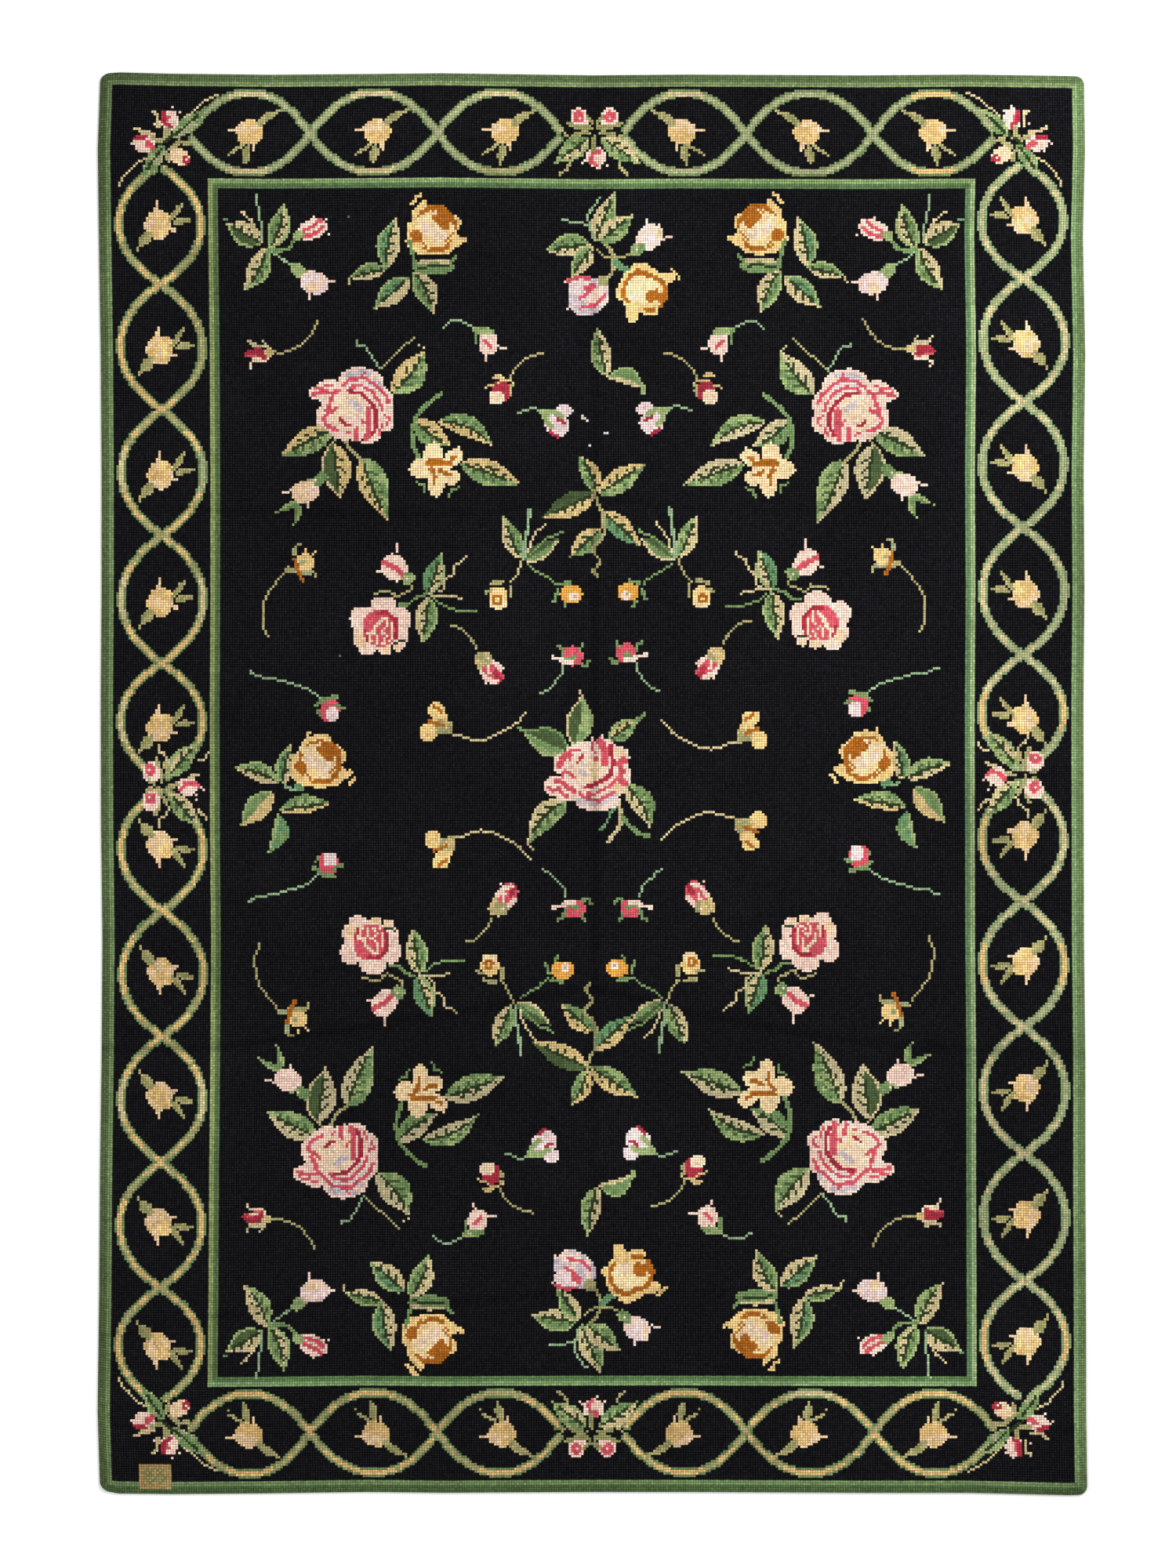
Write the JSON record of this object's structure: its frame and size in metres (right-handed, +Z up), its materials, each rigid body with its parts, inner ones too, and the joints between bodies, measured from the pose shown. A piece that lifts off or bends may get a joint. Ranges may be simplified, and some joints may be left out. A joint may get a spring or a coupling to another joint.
{
  "type": "needlepoint rug",
  "caption": "Flat rectangular needlepoint rug with a turned-under hem: flower sprays on a dark ground inside a trellis border.",
  "frame": {"origin": "middle of the underside, on the floor", "axes": "+Z up through the rug, +Y along its long side, +X across it"},
  "size_m": [1.8392, 2.6445, 0.0074],
  "materials": {
    "wool": "matt wool needlework: near-black ground, greens, golds and pinks in the stitched flowers"
  },
  "bodies": {
    "root": {"rug": "wool"}
  },
  "joints": []
}
